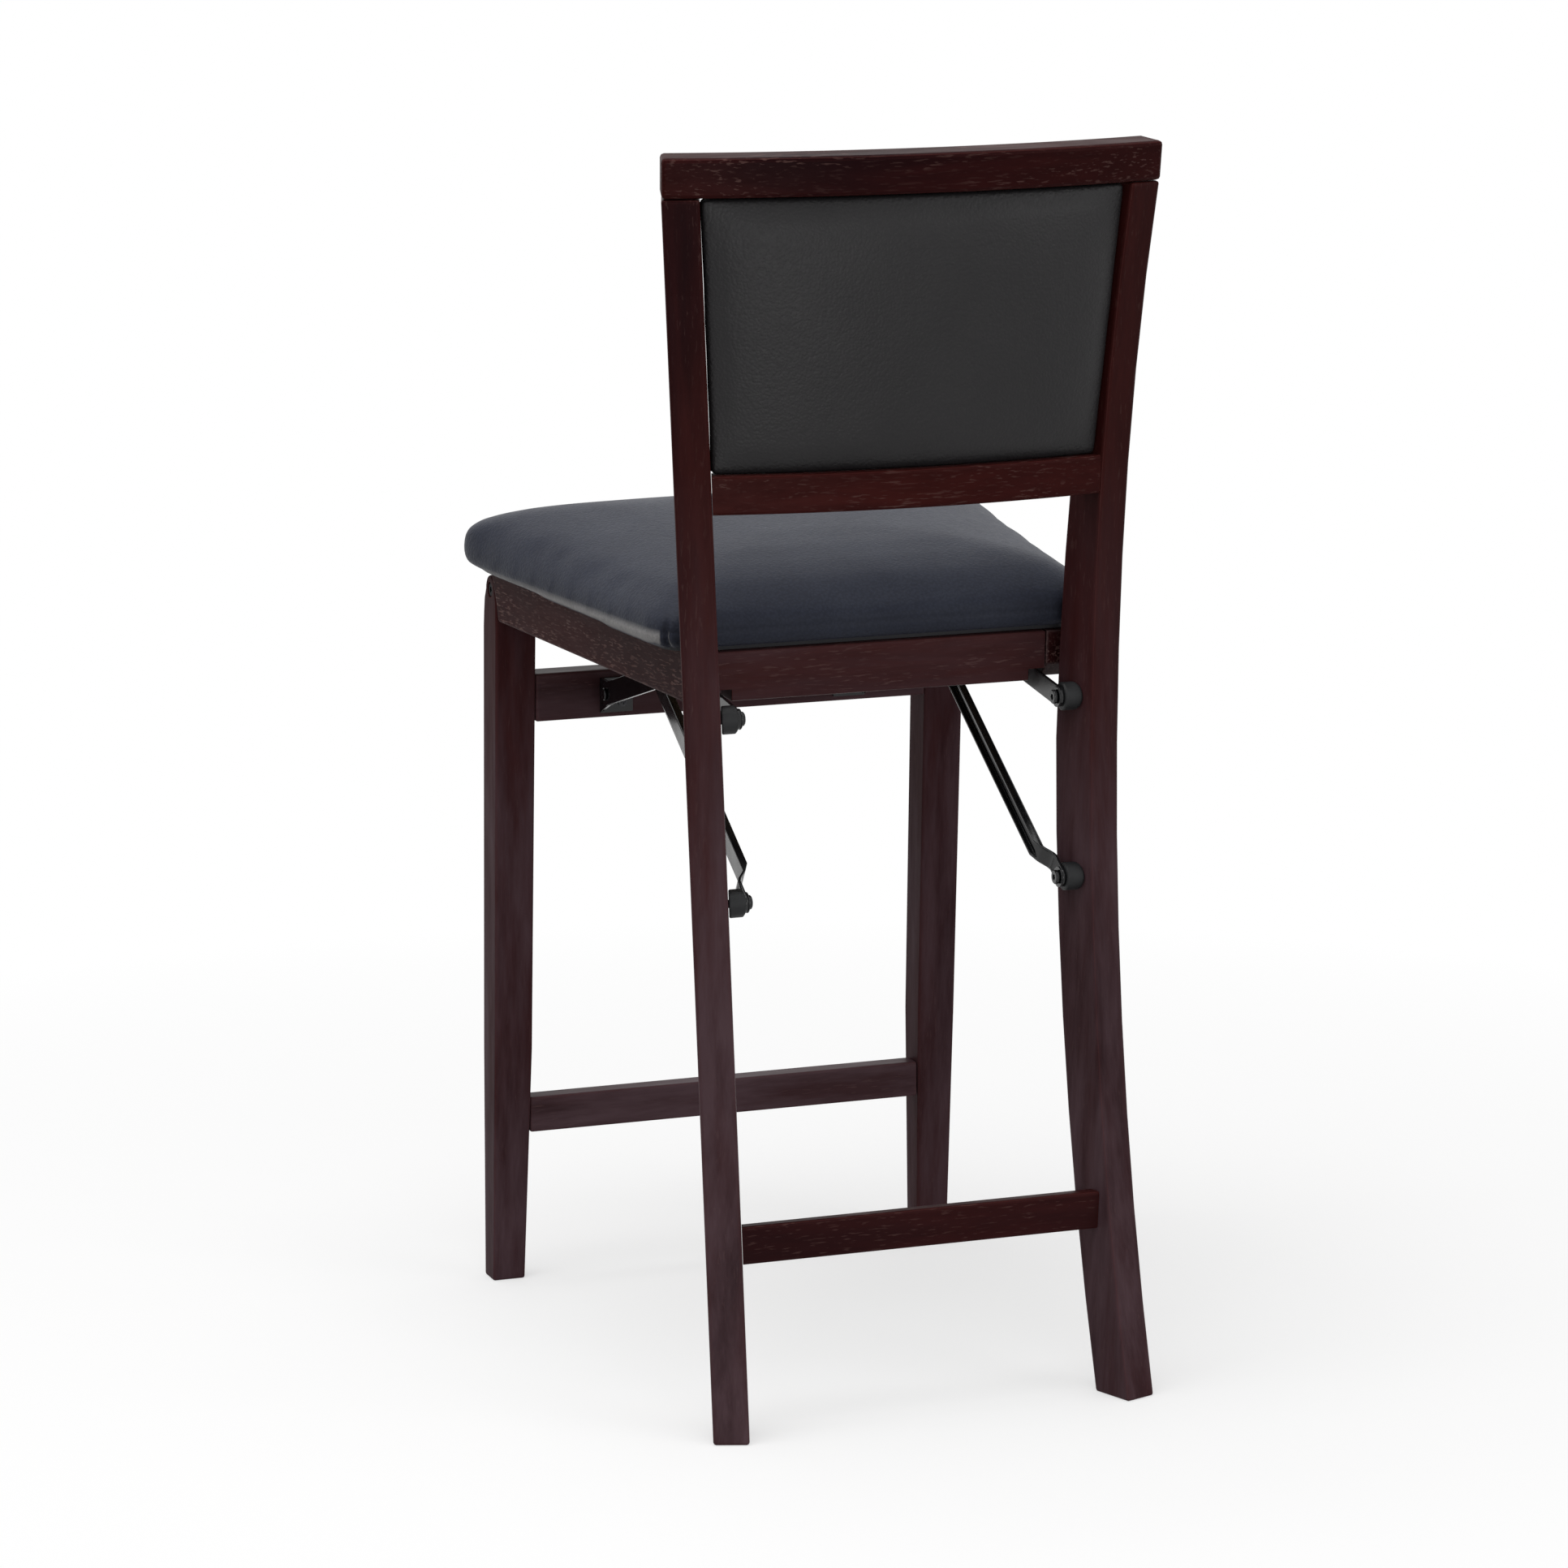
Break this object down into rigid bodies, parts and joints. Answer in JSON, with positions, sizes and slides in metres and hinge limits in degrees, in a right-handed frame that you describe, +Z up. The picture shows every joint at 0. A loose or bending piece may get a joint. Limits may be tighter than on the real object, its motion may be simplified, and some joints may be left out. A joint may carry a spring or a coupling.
{
  "type": "folding counter stool",
  "caption": "Folding wooden counter stool with a padded seat, a curved padded back, splayed rear posts and steel strap linkages that fold the seat up.",
  "frame": {"origin": "centre of the bounding box at floor level", "axes": "+Z up, the sitter faces -Y, +X is the sitter's left"},
  "size_m": [0.4508, 0.5226, 0.9811],
  "materials": {
    "dark_wood": "satin",
    "back_vinyl": "satin",
    "seat_vinyl": "satin",
    "plywood": "matte",
    "rubber": "matte",
    "black_steel": "gloss",
    "zinc_screw": "satin"
  },
  "bodies": {
    "back_frame": {"crest_rail": "dark_wood", "lower_back_rail": "dark_wood", "rear_stretcher": "dark_wood", "back_pad_board": "plywood", "back_pad_rear": "back_vinyl", "back_pad_front": "back_vinyl", "post_left": "dark_wood", "post_right": "dark_wood", "bumper_upper_left": "rubber", "bumper_upper_right": "rubber", "bumper_lower_left": "rubber", "bumper_lower_right": "rubber", "pivot_bolt_upper_left": "black_steel", "pivot_bolt_upper_right": "black_steel", "pivot_bolt_lower_left": "black_steel", "pivot_bolt_lower_right": "black_steel", "pivot_washer_upper_left": "black_steel", "pivot_washer_upper_right": "black_steel", "pivot_washer_lower_left": "black_steel", "pivot_washer_lower_right": "black_steel"},
    "upper_links": {"upper_link_left": "black_steel", "upper_link_right": "black_steel"},
    "seat": {"seat_cushion": "seat_vinyl", "seat_board": "plywood", "seat_rear_rail": "dark_wood", "seat_front_rail": "dark_wood", "side_rail_left": "dark_wood", "side_rail_right": "dark_wood", "corner_block_left": "dark_wood", "corner_block_right": "dark_wood", "seat_bracket_left": "black_steel", "seat_bracket_right": "black_steel", "seat_rivet_left": "black_steel", "seat_rivet_right": "black_steel", "bracket_screw_front_left": "zinc_screw", "bracket_screw_front_right": "zinc_screw", "bracket_screw_rear_left": "zinc_screw", "bracket_screw_rear_right": "zinc_screw"},
    "front_frame": {"front_apron": "dark_wood", "front_stretcher": "dark_wood", "front_leg_left": "dark_wood", "front_leg_right": "dark_wood", "leg_bolt_left": "black_steel", "leg_bolt_right": "black_steel", "apron_bracket_left": "black_steel", "apron_bracket_right": "black_steel", "apron_rivet_left": "black_steel", "apron_rivet_right": "black_steel", "apron_screw_left": "zinc_screw", "apron_screw_right": "zinc_screw"},
    "lower_links": {"lower_link_left": "black_steel", "lower_link_right": "black_steel"},
    "apron_links": {"apron_link_left": "black_steel", "apron_link_right": "black_steel"}
  },
  "joints": [
    {"name": "fold", "type": "hinge", "parent": "back_frame", "child": "upper_links", "pos_m": [0, 0.1681, 0.547], "axis": [-1, 0, 0], "range_deg": [0, 68.26]},
    {"name": "seat_fold", "type": "hinge", "parent": "upper_links", "child": "seat", "pos_m": [0, -0.0555, 0.575], "axis": [-1, 0, 0], "range_deg": [-158.27, 0]},
    {"name": "front_frame_fold", "type": "hinge", "parent": "seat", "child": "front_frame", "pos_m": [0, -0.2186, 0.5892], "axis": [-1, 0, 0], "range_deg": [0, 84.01]},
    {"name": "lower_link_fold", "type": "hinge", "parent": "back_frame", "child": "lower_links", "pos_m": [0, 0.1791, 0.406], "axis": [-1, 0, 0], "range_deg": [0, 46.52]},
    {"name": "apron_link_fold", "type": "hinge", "parent": "front_frame", "child": "apron_links", "pos_m": [0, -0.1839, 0.503], "axis": [-1, 0, 0], "range_deg": [-74.45, 0]}
  ],
  "couplings": [
    {"joint": "seat_fold", "follows": "fold", "ratio": -2.3184},
    {"joint": "front_frame_fold", "follows": "fold", "ratio": 1.2305},
    {"joint": "lower_link_fold", "follows": "fold", "ratio": 0.68132},
    {"joint": "apron_link_fold", "follows": "fold", "ratio": -1.0904}
  ]
}
